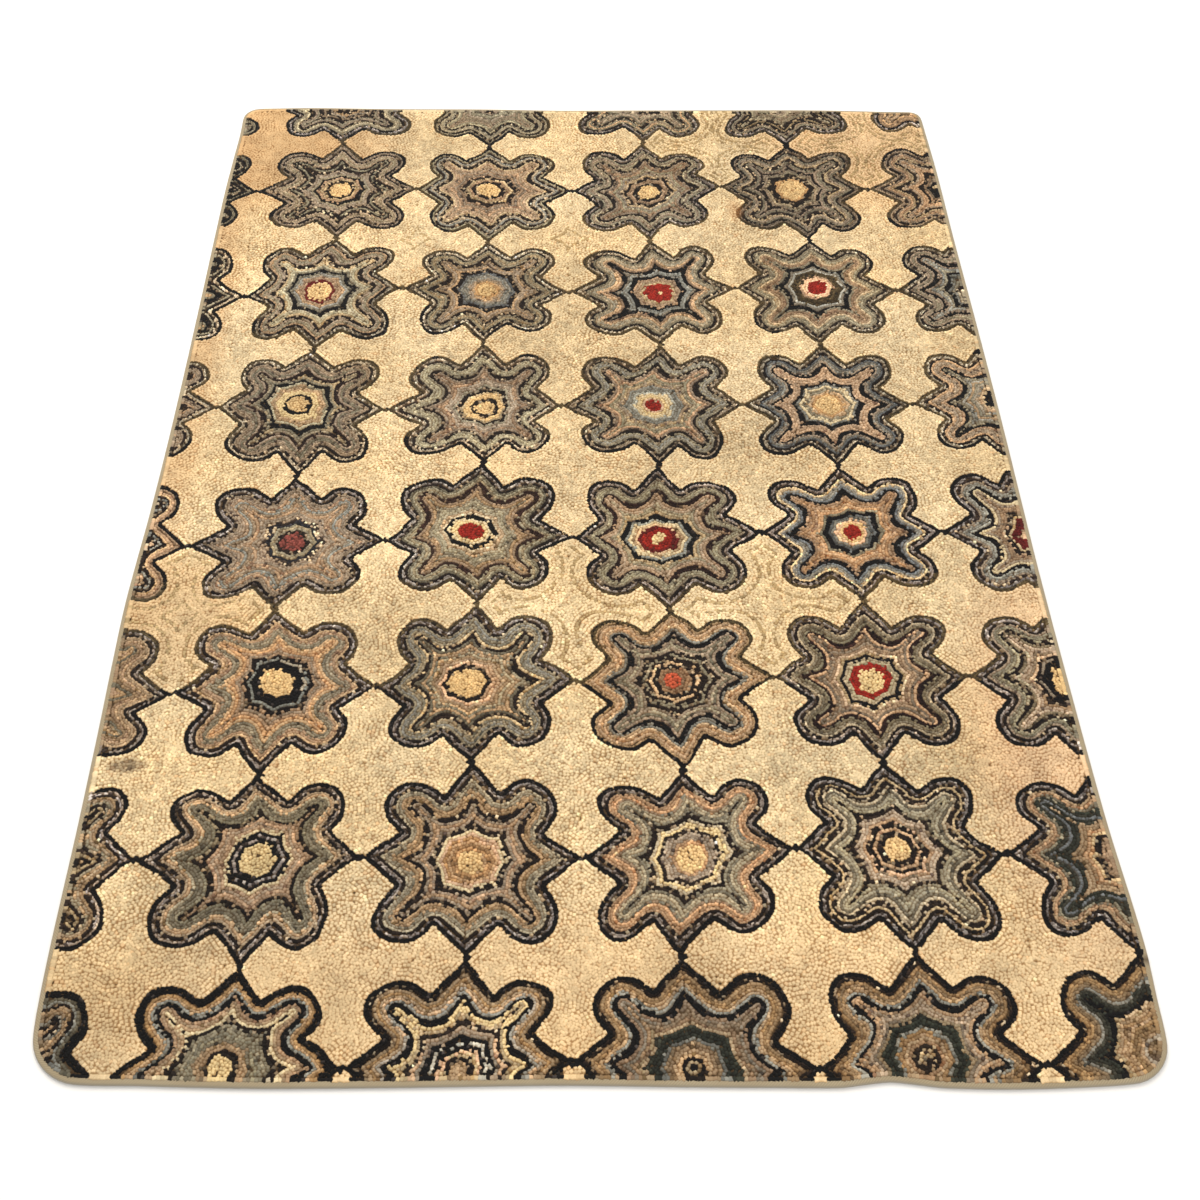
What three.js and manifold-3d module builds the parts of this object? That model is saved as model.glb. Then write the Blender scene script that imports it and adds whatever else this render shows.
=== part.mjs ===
// A hooked wool rug lying flat on the floor. A field of yarn loops stands on a foundation cloth, whose
// hem is held in a cotton tape folded round the edge. Millimetres, +Z up, +X across the rug, +Y towards
// its far end, with the origin under the middle.

import * as THREE from "three";
import { mergeVertices } from "three/addons/utils/BufferGeometryUtils.js";
import Module from "manifold-3d";

// Size over the binding, at the widest and the longest place
const rugWidth = 1480;
const rugLength = 2155;

// Thicknesses of the layers, and the play between the tape and what it holds
const pileTop = 9;
const tapeThickness = 1.4;
const hemThickness = 3.2;
const play = 0.3;

// Width of tape that shows on top, and that is turned under
const tapeFace = 11;
const tapeBack = 14;

// Roundings: the rolled outer edge of the tape, the fold inside it, and the rim of the pile
const rollRadius = 3.1;
const foldRadius = 1.7;
const rimRadius = 1.6;

// Facets of a quarter round, on the outside of the roll and on the smaller roundings
const rollSteps = 3;
const smallSteps = 2;

// How far each edge lies inside the overall rectangle. The rug was drawn, hooked and bound by hand: it
// narrows towards the far end, its edges wander, and the near edge has one small pucker.
const nearEdge = [
  { x: -600, inset: 23 },
  { x: -450, inset: 17 },
  { x: -250, inset: 15 },
  { x: -50, inset: 14.5 },
  { x: 100, inset: 10 },
  { x: 230, inset: 7 },
  { x: 310, inset: 6 },
  { x: 368, inset: 12 },
  { x: 430, inset: 4 },
  { x: 520, inset: 0 },
  { x: 610, inset: 1 },
];
const rightEdge = [
  { y: -960, inset: 2 },
  { y: -890, inset: 0 },
  { y: -800, inset: 3.5 },
  { y: -700, inset: 9 },
  { y: -450, inset: 14.5 },
  { y: -200, inset: 17.5 },
  { y: 100, inset: 17 },
  { y: 400, inset: 19 },
  { y: 650, inset: 22 },
  { y: 850, inset: 23 },
  { y: 1000, inset: 27 },
];
const farEdge = [
  { x: 650, inset: 24 },
  { x: 500, inset: 17 },
  { x: 300, inset: 15 },
  { x: 100, inset: 14 },
  { x: -50, inset: 13.5 },
  { x: -200, inset: 8 },
  { x: -400, inset: 5 },
  { x: -560, inset: 0 },
  { x: -640, inset: 1 },
];
const leftEdge = [
  { y: 1000, inset: 34 },
  { y: 800, inset: 27 },
  { y: 550, inset: 24 },
  { y: 300, inset: 21 },
  { y: 90, inset: 17 },
  { y: -90, inset: 11 },
  { y: -260, inset: 3 },
  { y: -500, inset: 3 },
  { y: -680, inset: 2.5 },
  { y: -860, inset: 0 },
  { y: -940, inset: 0.5 },
];

// Rounded corners, each with its place against the overall rectangle
const corners = {
  nearRight: { radius: 62, alongX: 1, alongY: -1, insetX: 3, insetY: 4, start: -90 },
  farRight: { radius: 24, alongX: 1, alongY: 1, insetX: 28, insetY: 25, start: 0 },
  farLeft: { radius: 34, alongX: -1, alongY: 1, insetX: 34, insetY: 2, start: 90 },
  nearLeft: { radius: 75, alongX: -1, alongY: -1, insetX: 2, insetY: 25, start: 180 },
};
const cornerSteps = 5;
const samplesPerStation = 2;

// Points closer than this are one point of a solid
const weldDistance = 0.001;

const wasm = await Module();
wasm.setup();

// Points of one rounded corner, counter-clockwise
function cornerArc({ radius, alongX, alongY, insetX, insetY, start }) {
  const centreX = alongX * (rugWidth / 2 - insetX - radius);
  const centreY = alongY * (rugLength / 2 - insetY - radius);
  const points = [];
  for (let step = 0; step <= cornerSteps; step += 1) {
    const angle = THREE.MathUtils.degToRad(start + (90 * step) / cornerSteps);
    const x = centreX + radius * Math.cos(angle);
    const y = centreY + radius * Math.sin(angle);
    points.push(new THREE.Vector3(x, y, 0));
  }
  return points;
}

// The smooth closed curve round the outside of the binding, counter-clockwise from the near left
function edgeCurve() {
  const acrossAt = (side) => ({ x, inset }) =>
    new THREE.Vector3(x, side * (rugLength / 2 - inset), 0);
  const alongAt = (side) => ({ y, inset }) =>
    new THREE.Vector3(side * (rugWidth / 2 - inset), y, 0);
  const stations = [
    ...nearEdge.map(acrossAt(-1)),
    ...cornerArc(corners.nearRight),
    ...rightEdge.map(alongAt(1)),
    ...cornerArc(corners.farRight),
    ...farEdge.map(acrossAt(1)),
    ...cornerArc(corners.farLeft),
    ...leftEdge.map(alongAt(-1)),
    ...cornerArc(corners.nearLeft),
  ];
  return new THREE.CatmullRomCurve3(stations, true, "centripetal");
}

const edge = edgeCurve();
const edgeSamples = edge.points.length * samplesPerStation;

// The rug's outline moved inwards by a distance, as a flat shape
function outline(inset) {
  const points = [];
  for (let sample = 0; sample < edgeSamples; sample += 1) {
    const t = sample / edgeSamples;
    const place = edge.getPoint(t);
    const run = edge.getTangent(t);
    points.push(new THREE.Vector2(place.x - run.y * inset, place.y + run.x * inset));
  }
  return new THREE.Shape(points);
}

// A flat layer of the outline, with its edge rounded where a radius is given
function layer(inset, bottom, top, radius = 0, roundSteps = smallSteps) {
  const geometry = new THREE.ExtrudeGeometry(outline(inset + radius), {
    depth: top - bottom - 2 * radius,
    bevelEnabled: radius > 0,
    bevelSize: radius,
    bevelThickness: radius,
    bevelSegments: roundSteps,
    steps: 1,
  });
  geometry.translate(0, 0, bottom + radius);
  return solid(geometry);
}

// A closed geometry as a solid that can be joined and cut
function solid(geometry) {
  geometry.deleteAttribute("normal");
  geometry.deleteAttribute("uv");
  const merged = mergeVertices(geometry, weldDistance);
  const vertProperties = new Float32Array(merged.attributes.position.array);
  const triVerts = new Uint32Array(merged.index.array);
  return new wasm.Manifold(new wasm.Mesh({ numProp: 3, vertProperties, triVerts }));
}

// A solid as a named mesh with its material
function piece(name, body, material) {
  const { vertProperties, triVerts } = body.getMesh();
  const geometry = new THREE.BufferGeometry();
  geometry.setAttribute("position", new THREE.BufferAttribute(vertProperties, 3));
  geometry.setIndex(new THREE.BufferAttribute(triVerts, 1));
  geometry.computeVertexNormals();
  const mesh = new THREE.Mesh(geometry, material);
  mesh.name = name;
  return mesh;
}

// Levels of the fold of tape, and of the hem inside it
const pocketBottom = tapeThickness;
const pocketTop = tapeThickness + hemThickness + 2 * play;
const tapeTop = pocketTop + tapeThickness;
const hemBottom = pocketBottom + play;
const hemTop = pocketTop - play;
const beyond = 5;

// The tape: a rolled edge with a pocket for the hem, open in the middle on both faces
function bindingBody() {
  const rolled = layer(0, 0, tapeTop, rollRadius, rollSteps);
  const pocket = layer(tapeThickness, pocketBottom, pocketTop, foldRadius);
  const faceOpening = layer(tapeFace, hemBottom, tapeTop + beyond);
  const backOpening = layer(tapeBack, -beyond, hemTop);
  return rolled.subtract(pocket).subtract(faceOpening).subtract(backOpening);
}

// The hooked field: the hem in the tape, the pile above it, and the back that lies on the floor
function fieldBody() {
  const hem = layer(tapeThickness + play, hemBottom, hemTop, foldRadius - play);
  const pile = layer(tapeFace + play, hemBottom, pileTop, rimRadius);
  const back = layer(tapeBack + play, 0, hemTop - play);
  return hem.add(pile).add(back);
}

const woolPile = new THREE.MeshStandardMaterial({ color: 0xb79f7e, roughness: 0.95, metalness: 0 });
const cottonTape = new THREE.MeshStandardMaterial({ color: 0xb5a283, roughness: 0.9, metalness: 0 });

const rug = new THREE.Group();
rug.add(piece("hooked_field", fieldBody(), woolPile));
rug.add(piece("edge_binding", bindingBody(), cottonTape));

export default rug;
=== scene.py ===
import math

import bpy
import numpy as np
from mathutils import Matrix, Vector
from mathutils.kdtree import KDTree


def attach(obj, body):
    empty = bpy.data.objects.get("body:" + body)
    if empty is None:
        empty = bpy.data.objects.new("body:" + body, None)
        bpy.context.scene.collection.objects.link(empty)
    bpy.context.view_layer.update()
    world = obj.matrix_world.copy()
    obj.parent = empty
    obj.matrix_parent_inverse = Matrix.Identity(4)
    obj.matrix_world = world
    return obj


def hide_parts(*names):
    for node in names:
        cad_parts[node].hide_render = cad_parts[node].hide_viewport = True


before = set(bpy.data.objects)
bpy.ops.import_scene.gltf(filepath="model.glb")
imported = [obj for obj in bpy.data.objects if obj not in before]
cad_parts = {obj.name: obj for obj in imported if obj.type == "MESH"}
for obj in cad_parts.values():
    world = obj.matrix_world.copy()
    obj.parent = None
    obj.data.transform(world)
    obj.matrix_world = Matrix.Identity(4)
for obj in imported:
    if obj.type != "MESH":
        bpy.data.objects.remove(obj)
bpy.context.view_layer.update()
mm = 0.001
waveBands = 3.183  # bands of a wave texture in one unit, at scale 1


def linear(hexColour):  # sRGB hex to the linear colour that Blender's sockets take
    parts = [int(hexColour[place:place + 2], 16) / 255 for place in (1, 3, 5)]
    return tuple(p / 12.92 if p <= 0.04045 else ((p + 0.055) / 1.055) ** 2.4 for p in parts)


def addNode(tree, kind, settings=None, inputs=None):  # an input is a value, or a socket to link from
    node = tree.nodes.new("ShaderNode" + kind)
    for name, value in (settings or {}).items():
        setattr(node, name, value)
    for name, value in (inputs or {}).items():
        if isinstance(value, bpy.types.NodeSocket):
            tree.links.new(value, node.inputs[name])
        else:
            node.inputs[name].default_value = value
    return node


def newMaterial(name):  # the material, its tree of nodes and its shader
    material = bpy.data.materials.new(name)
    material.use_nodes = True
    return material, material.node_tree, material.node_tree.nodes["Principled BSDF"]


def softNoise(x, y, size, seed):  # a smooth random field from -1 to 1 that changes over "size" mm
    table = np.random.default_rng(seed).uniform(-1, 1, (64, 64))
    gridX = x / size + 640.37  # well away from the corner of the table
    gridY = y / size + 640.71
    ix = np.floor(gridX).astype(int)
    iy = np.floor(gridY).astype(int)
    fx = gridX - ix
    fy = gridY - iy
    fx = fx * fx * (3 - 2 * fx)
    fy = fy * fy * (3 - 2 * fy)
    near = table[ix % 64, iy % 64] * (1 - fx) + table[(ix + 1) % 64, iy % 64] * fx
    far = table[ix % 64, (iy + 1) % 64] * (1 - fx) + table[(ix + 1) % 64, (iy + 1) % 64] * fx
    return near * (1 - fy) + far * fy


def newPiece(name, points, faces, material):  # a smooth mesh piece at the origin, from arrays in metres
    mesh = bpy.data.meshes.new(name)
    corners = np.asarray(faces)
    sides = corners.shape[1]
    mesh.vertices.add(len(points))
    mesh.vertices.foreach_set("co", np.asarray(points, np.float32).ravel())
    mesh.loops.add(corners.size)
    mesh.loops.foreach_set("vertex_index", corners.astype(np.int32).ravel())
    mesh.polygons.add(len(corners))
    mesh.polygons.foreach_set("loop_start", np.arange(0, corners.size, sides, dtype=np.int32))
    mesh.polygons.foreach_set("use_smooth", np.ones(len(corners), bool))
    mesh.update(calc_edges=True)
    mesh.materials.append(material)
    piece = bpy.data.objects.new(name, mesh)
    bpy.context.scene.collection.objects.link(piece)
    return piece


# Camera: a person holding the camera above the near end
view = {
    "place": (-0.0349, -1.8939, 2.0002),
    "forward": (0.0185, 0.6322, -0.7746),
    "right": (0.9998, -0.0196, 0.0079),
    "lens": 48.72,
    "sensor": 36.0,
}


def placeCamera():
    forward = Vector(view["forward"]).normalized()
    right = Vector(view["right"])
    right = (right - forward * right.dot(forward)).normalized()
    up = right.cross(forward)
    bpy.ops.object.camera_add()
    camera = bpy.context.object
    camera.name = "photoCamera"
    camera.data.sensor_width = view["sensor"]
    camera.data.lens = view["lens"]
    turn = Matrix((right, up, -forward)).transposed().to_4x4()
    camera.matrix_world = Matrix.Translation(view["place"]) @ turn
    bpy.context.scene.camera = camera


# Studio: a pale floor under one big overhead softbox, with a pale sky for fill
studio = {
    "floorSize": 30.0,
    "floorLevel": -0.0006,
    "floorColour": "#f4f3f1",
    "floorShade": "#f2f1ef",
    "skyColour": "#ffffff",
    "skyStrength": 0.62,
    "lamps": [
        {"name": "softboxFar", "place": (-0.7, 1.5, 3.0), "size": 3.2, "power": 118, "colour": "#fff8ee"},
        {"name": "softboxNear", "place": (1.2, -2.2, 2.8), "size": 2.4, "power": 36, "colour": "#fffaf4"},
    ],
}


def buildStudio():
    bpy.ops.object.select_all(action="DESELECT")
    bpy.ops.mesh.primitive_plane_add(size=studio["floorSize"], location=(0, 0, studio["floorLevel"]))
    bpy.ops.object.transform_apply(location=True)
    floor = bpy.context.object
    floor.name = "studioFloor"
    paper, tree, shader = newMaterial("mattPaper")  # seamless studio paper: pale, flat, no gloss
    place = addNode(tree, "TexCoord")
    grain = addNode(tree, "TexNoise", None, {"Vector": place.outputs["Object"], "Scale": 3.0})
    tone = addNode(tree, "Mix", {"data_type": "RGBA"}, {
        0: grain.outputs["Fac"], 6: (*linear(studio["floorShade"]), 1),
        7: (*linear(studio["floorColour"]), 1)})
    tree.links.new(tone.outputs[2], shader.inputs["Base Color"])
    shader.inputs["Roughness"].default_value = 0.95
    shader.inputs["Specular IOR Level"].default_value = 0.1
    floor.data.materials.append(paper)
    for lamp in studio["lamps"]:
        bpy.ops.object.light_add(type="AREA", location=lamp["place"])
        light = bpy.context.object
        light.name = lamp["name"]
        light.data.size = lamp["size"]
        light.data.energy = lamp["power"]
        light.data.color = linear(lamp["colour"])
        light.rotation_euler = (-Vector(lamp["place"])).to_track_quat("-Z", "Y").to_euler()
    sky = bpy.data.worlds.new("paleSky")
    sky.use_nodes = True
    sky.node_tree.nodes["Background"].inputs["Color"].default_value = (*linear(studio["skyColour"]), 1)
    sky.node_tree.nodes["Background"].inputs["Strength"].default_value = studio["skyStrength"]
    bpy.context.scene.world = sky
    bpy.context.scene.view_settings.view_transform = "Standard"  # the hex colours come out as given


placeCamera()
buildStudio()
print("camera, floor and lights are in")


# The rug's edge, read from the hem of the CAD field, which lies a little inside the binding
edgeRun = {"hemLevel": 3.1, "hemInset": 1.7, "stations": 704}


def readEdge():
    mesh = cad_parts["hooked_field"].data
    points = np.empty(len(mesh.vertices) * 3)
    mesh.vertices.foreach_get("co", points)
    points = points.reshape(-1, 3) / mm
    hem = points[np.abs(points[:, 2] - edgeRun["hemLevel"]) < 0.06][:, :2]
    hem = np.unique(hem.round(2), axis=0)
    hem = hem[np.argsort(np.arctan2(hem[:, 1], hem[:, 0]))]
    back = np.roll(hem, 1, 0)
    ahead = np.roll(hem, -1, 0)
    gapBack = np.linalg.norm(hem - back, axis=1)[:, None]
    gapAhead = np.linalg.norm(ahead - hem, axis=1)[:, None]
    slope = ((ahead - hem) / gapAhead * gapBack + (hem - back) / gapBack * gapAhead) / (gapBack + gapAhead)
    start = np.concatenate([[0], np.cumsum(gapAhead[:, 0])])
    along = np.linspace(0, start[-1], edgeRun["stations"], endpoint=False)
    leg = np.searchsorted(start, along, side="right") - 1
    after = (leg + 1) % len(hem)
    gap = gapAhead[leg]
    t = ((along - start[leg]) / gap[:, 0])[:, None]
    path = (hem[leg] * (2 * t ** 3 - 3 * t ** 2 + 1) + hem[after] * (3 * t ** 2 - 2 * t ** 3)
            + slope[leg] * gap * (t ** 3 - 2 * t ** 2 + t) + slope[after] * gap * (t ** 3 - t ** 2))
    run = np.roll(path, -1, 0) - np.roll(path, 1, 0)
    run /= np.linalg.norm(run, axis=1)[:, None]
    outward = np.column_stack([run[:, 1], -run[:, 0]])
    return path + outward * edgeRun["hemInset"], outward, run


edgePath, edgeOutward, edgeRunning = readEdge()
edgeStep = np.linalg.norm(np.roll(edgePath, -1, 0) - edgePath, axis=1)
edgeAlong = np.concatenate([[0], np.cumsum(edgeStep)])
print("edge of", len(edgePath), "stations,", round(edgeAlong[-1]), "mm round")


def sweepEdge(section):  # rings of points for a section of (inset, level), in mm
    rings = []
    for inset, level in section:
        flat = edgePath - edgeOutward * np.reshape(inset, (-1, 1))
        rings.append(np.column_stack([flat, np.broadcast_to(level, len(flat))]))
    return np.stack(rings, axis=1)


# Foundation cloth: burlap under the loops, its hem held in the tape
foundationCloth = {
    "top": 5.7,
    "hemTop": 4.9,
    "hemBottom": 1.7,
    "back": 0.2,
    "hemInset": 1.9,
    "hemRound": 0.8,
    "rise": (11.4, 12.6),  # insets between which it rises under the outer loops
    "fall": (14.2, 15.4),  # insets between which it falls to the floor inside the tape
    "flatInset": 17.0,
    "thread": 1.7,
    "colour": "#b4946a",
    "shadeColour": "#8a6c48",
    # painted shade on the cloth's top, which shows between the roots of the loops: its colour and the
    # levels in mm over which it comes in
    "underShadeColour": "#4a3a28",
    "underShadeLevels": (5.2, 5.6),
}


def makeBurlap():  # jute burlap, plain weave: coarse brown threads with open, shaded holes, and painted shade on its top between the loops
    material, tree, shader = newMaterial("juteBurlap")
    place = addNode(tree, "TexCoord")
    scale = 1 / (foundationCloth["thread"] * mm) / waveBands  # one wave of the texture is one thread
    warp = addNode(tree, "TexWave", {"bands_direction": "X"}, {
        "Vector": place.outputs["Object"], "Scale": scale, "Distortion": 1.2, "Detail": 1.0})
    weft = addNode(tree, "TexWave", {"bands_direction": "Y"}, {
        "Vector": place.outputs["Object"], "Scale": scale, "Distortion": 1.2, "Detail": 1.0})
    weave = addNode(tree, "Math", {"operation": "MULTIPLY"}, {
        0: warp.outputs["Fac"], 1: weft.outputs["Fac"]})
    slub = addNode(tree, "TexNoise", None, {"Vector": place.outputs["Object"], "Scale": 90.0})
    uneven = addNode(tree, "Math", {"operation": "MULTIPLY"}, {
        0: weave.outputs[0], 1: slub.outputs["Fac"]})
    tone = addNode(tree, "Mix", {"data_type": "RGBA"}, {
        0: uneven.outputs[0], 6: (*linear(foundationCloth["shadeColour"]), 1),
        7: (*linear(foundationCloth["colour"]), 1)})
    split = addNode(tree, "SeparateXYZ", None, {0: place.outputs["Object"]})
    low, high = foundationCloth["underShadeLevels"]
    under = addNode(tree, "MapRange", None, {  # painted shade: the cloth's top is darkened where it lies between the roots of the loops
        "Value": split.outputs["Z"], "From Min": low * mm, "From Max": high * mm})
    paintedShade = addNode(tree, "Mix", {"data_type": "RGBA"}, {
        0: under.outputs[0], 6: tone.outputs[2], 7: (*linear(foundationCloth["underShadeColour"]), 1)})
    lift = addNode(tree, "Bump", None, {
        "Height": weave.outputs[0], "Strength": 0.6, "Distance": 0.4 * mm})
    tree.links.new(paintedShade.outputs[2], shader.inputs["Base Color"])
    tree.links.new(lift.outputs[0], shader.inputs["Normal"])
    shader.inputs["Roughness"].default_value = 0.95
    shader.inputs["Specular IOR Level"].default_value = 0.2
    return material


def buildFoundation():
    cloth = foundationCloth
    hemMiddle = (cloth["hemTop"] + cloth["hemBottom"]) / 2
    section = [
        (cloth["flatInset"], cloth["top"]),
        (cloth["rise"][1], cloth["top"]),
        (cloth["rise"][0], cloth["hemTop"]),
        (cloth["hemInset"] + cloth["hemRound"], cloth["hemTop"]),
        (cloth["hemInset"], hemMiddle),
        (cloth["hemInset"] + cloth["hemRound"], cloth["hemBottom"]),
        (cloth["fall"][0], cloth["hemBottom"]),
        (cloth["fall"][1], cloth["back"]),
        (cloth["flatInset"], cloth["back"]),
    ]
    rings = sweepEdge(section)
    stations, levels = rings.shape[:2]
    points = rings.reshape(-1, 3) * mm
    quads = []
    for station in range(stations):
        here = station * levels
        ahead = (station + 1) % stations * levels
        for level in range(levels - 1):
            quads.append((here + level, here + level + 1, ahead + level + 1, ahead + level))
    topCap = [station * levels for station in range(stations)]
    backCap = [station * levels + levels - 1 for station in reversed(range(stations))]
    mesh = bpy.data.meshes.new("foundation_cloth")
    mesh.from_pydata([tuple(p) for p in points], [], [*quads, topCap, backCap])
    mesh.validate()
    mesh.polygons.foreach_set("use_smooth", np.ones(len(mesh.polygons), bool))
    mesh.materials.append(makeBurlap())
    piece = bpy.data.objects.new("foundation_cloth", mesh)
    bpy.context.scene.collection.objects.link(piece)
    return piece


foundation = buildFoundation()
print("foundation cloth:", len(foundation.data.polygons), "faces")


# Loop pile. Stars stand in a square repeat, each hooked in rows that follow its outline inwards, and the
# cream ground follows the outlines outwards until the rows of four stars meet in a cross.
star = {
    "pitch": 305.0,  # mm from star to star
    "tip": 152.5,  # middle to the end of a pointed arm
    "notch": (103.0, 41.0),  # inner corner between a pointed and a round arm
    "lobe": 83.0,  # middle of a round arm's end, in x and in y
    "lobeRadius": 42.0,
    "reach": 111.0,  # notch to the middle
    "outlineRows": (3.4, 3.2, 2.7, 2.7, 4.3),  # two rows of the outline, two beside it, and a dark one
    "rows": 26,
    "bands": 20,  # letters in a star's colour plan: three for the outline's rows, the rest evenly
    "squeeze": 0.28,  # how much closer the inner rows lie in the arms than at the notches
    "darkSpread": 0.7,  # a dark row is hooked tight and spreads over its neighbours
    "loopGap": 4.3,
    "groundRowGap": 5.8,
    "groundLoopGap": 6.0,
    "groundRows": 12,
    "starRoom": 4.0,  # mm that a loop takes up once it has settled, in a star, its outline and the ground
    "outlineRoom": 2.9,
    "groundRoom": 5.7,
    "leastGap": 2.9,  # a loop nearer than this to another one is left out
    "fillGap": 3.5,  # room between the rows that takes one more loop
    "variants": 4,
    "seed": 1912,
}
lastOutlineRow = len(star["outlineRows"]) - 1
layout = {
    "rows": 8,
    "columns": 6,
    "firstColumn": 2.6,  # the lattice's place against the middle of the rug, in repeats
    "firstRow": 3.585,
    "shift": (-2.0, -1.5),
    "rowDrift": [(0, 0), (1, 3), (6, 3), (-6, -3), (-4, -3), (0, 4), (3, 1), (0, 0)],  # mm, drawn
    "wander": 13.0,
    "wobble": 4.0,
    "wobbleSize": 48.0,
    "shake": 1.5,
    "shakeSize": 19.0,
    "jitter": 0.35,
    "starJitter": 0.55,
    "seed": 77,
}


def rowEdges():  # depth of each row's two sides below the outline, at a notch
    outer = list(star["outlineRows"])
    inner = (star["reach"] - sum(outer)) / (star["rows"] - len(outer))
    return np.concatenate([[0], np.cumsum(outer + [inner] * (star["rows"] - len(outer)))])


def bandEdges():  # depth of the sides of each letter's band in the colour plan
    rows = star["outlineRows"]
    outer = [rows[0] + rows[1], rows[2] + rows[3], rows[4]]
    inner = (star["reach"] - sum(outer)) / (star["bands"] - 3)
    return np.concatenate([[0], np.cumsum(outer + [inner] * (star["bands"] - 3))])


def squeezeAt(x, y):  # how much the rows are squeezed at a place in the star, none near the middle
    share = np.clip((np.hypot(x, y) - 70) / 40, 0, 1)
    return 1 + star["squeeze"] * share * share * (3 - 2 * share)


def starOutline():  # points round the outline, and inward normals, with a fan of normals at each corner
    lobe = np.array([star["lobe"], star["lobe"]])
    notch = np.array(star["notch"])
    spoke = notch - lobe
    start = math.atan2(spoke[1], spoke[0]) + math.acos(star["lobeRadius"] / np.linalg.norm(spoke))
    angles = np.linspace(start, math.pi / 2 - start, 64)
    arc = lobe + star["lobeRadius"] * np.column_stack([np.cos(angles), np.sin(angles)])
    quarter = np.vstack([[star["tip"], 0], notch, arc, notch[::-1]])
    turned = [quarter]
    for _ in range(3):
        last = turned[-1]
        turned.append(np.column_stack([-last[:, 1], last[:, 0]]))
    path = np.vstack(turned)
    points = []
    normals = []
    isFan = []
    for a, b, c in zip(path, np.roll(path, -1, 0), np.roll(path, -2, 0)):
        run = b - a
        reach = np.linalg.norm(run)
        count = max(1, int(round(reach)))
        heading = math.atan2(run[1], run[0]) + math.pi / 2
        for share in (np.arange(count) + 0.5) / count:
            points.append(a + run * share)
            normals.append(heading)
            isFan.append(False)
        bend = math.atan2(c[1] - b[1], c[0] - b[0]) - math.atan2(run[1], run[0])
        bend = (bend + math.pi) % (2 * math.pi) - math.pi
        if abs(bend) > 0.15:
            for share in np.linspace(0.02, 0.98, 150):
                points.append(b)
                normals.append(heading + bend * share)
                isFan.append(True)
    normals = np.array(normals)
    return np.array(points), np.column_stack([np.cos(normals), np.sin(normals)]), np.array(isFan)


def treeOf(points):
    tree = KDTree(len(points))
    for index, point in enumerate(points):
        tree.insert((point[0], point[1], 0), index)
    tree.balance()
    return tree


def contourRuns(points, normals, isFan):  # the stretches of each row that lie at its true distance
    outlineTree = treeOf(points[~isFan])
    half = star["pitch"] / 2
    edges = rowEdges()
    firm = sum(star["outlineRows"])
    runs = []
    for row in range(-star["groundRows"], star["rows"]):
        if row >= 0:
            middle = (edges[row] + edges[row + 1]) / 2
            depth = np.full(len(points), middle)
            for _ in range(6):
                moved = points + normals * depth[:, None]
                if middle > firm:
                    depth = firm + (middle - firm) / squeezeAt(*moved.T)
        else:
            depth = np.full(len(points), (row + 0.5) * star["groundRowGap"])
        moved = points + normals * depth[:, None]
        away = np.array([outlineTree.find((p[0], p[1], 0))[2] for p in moved])
        fits = away > np.abs(depth) - 0.35
        fits &= np.abs(moved).max(1) < half - 1.0
        step = np.linalg.norm(moved - np.roll(moved, 1, 0), axis=1)
        breaks = ~fits | ~np.roll(fits, 1) | (step > 4)
        first = int(np.argmax(breaks)) if breaks.any() else 0
        order = np.roll(np.arange(len(moved)), -first)
        current = []
        for index in order:
            if breaks[index] and len(current) > 1:
                runs.append((row, moved[current]))
                current = []
            elif breaks[index]:
                current = []
            if fits[index]:
                current.append(index)
        if len(current) > 1:
            runs.append((row, moved[current]))
    return runs, outlineTree


def cellLoops(runs, outlineTree, inside, chance):  # one cell's loops: x, y, turn and row
    half = star["pitch"] / 2
    edges = rowEdges()
    firm = sum(star["outlineRows"])
    placed = []
    for row, run in sorted(runs, key=lambda item: (item[0] < 0, abs(item[0]))):
        spacing = star["loopGap"] if row >= 0 else star["groundLoopGap"]
        along = np.concatenate([[0], np.cumsum(np.linalg.norm(np.diff(run, axis=0), axis=1))])
        if along[-1] < 0.4 * spacing:
            placed.append((*run[len(run) // 2], chance.uniform(0, math.pi), row))
            continue
        count = max(1, int(round(along[-1] / spacing)))
        spots = (np.arange(count) + 0.5 + chance.uniform(-0.3, 0.3)) / count * along[-1]
        spots = np.clip(spots + chance.normal(0, 0.4, count), 0, along[-1])
        x = np.interp(spots, along, run[:, 0])
        y = np.interp(spots, along, run[:, 1])
        dx = np.interp(spots + 0.8, along, run[:, 0]) - np.interp(spots - 0.8, along, run[:, 0])
        dy = np.interp(spots + 0.8, along, run[:, 1]) - np.interp(spots - 0.8, along, run[:, 1])
        placed += zip(x, y, np.arctan2(dy, dx), [row] * count)
    loops = np.array(placed)
    loops = loops[thin(loops, star["leastGap"])]
    copies = [loops[:, :2] + np.array([i, j]) * star["pitch"] for i in (-1, 0, 1) for j in (-1, 0, 1)]
    near = np.vstack(copies)
    near = near[np.abs(near).max(1) < half + 15]
    tree = treeOf(near)
    steps = np.arange(-half, half, 2.0)
    grid = np.stack(np.meshgrid(steps, steps), -1).reshape(-1, 2)
    grid = grid + chance.uniform(-0.7, 0.7, grid.shape)
    free = np.array([tree.find((p[0], p[1], 0))[2] for p in grid])
    added = []
    for index in np.argsort(-free):  # loops hooked into what room is left between the rows
        if free[index] < star["fillGap"]:
            break
        spot = grid[index]
        if all(np.hypot(*(spot - other[:2])) > star["fillGap"] for other in added):
            depth = outlineTree.find((spot[0], spot[1], 0))[2]
            if inside(spot):
                depth += max(0, depth - firm) * (squeezeAt(*spot) - 1)
                row = min(int(np.searchsorted(edges, depth, side="right")) - 1, star["rows"] - 1)
            else:
                row = -1 - int(depth / star["groundRowGap"])
            added.append((*spot, chance.uniform(0, math.pi), row))
    if added:
        loops = np.vstack([loops, added])
    return settle(loops)


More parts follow.
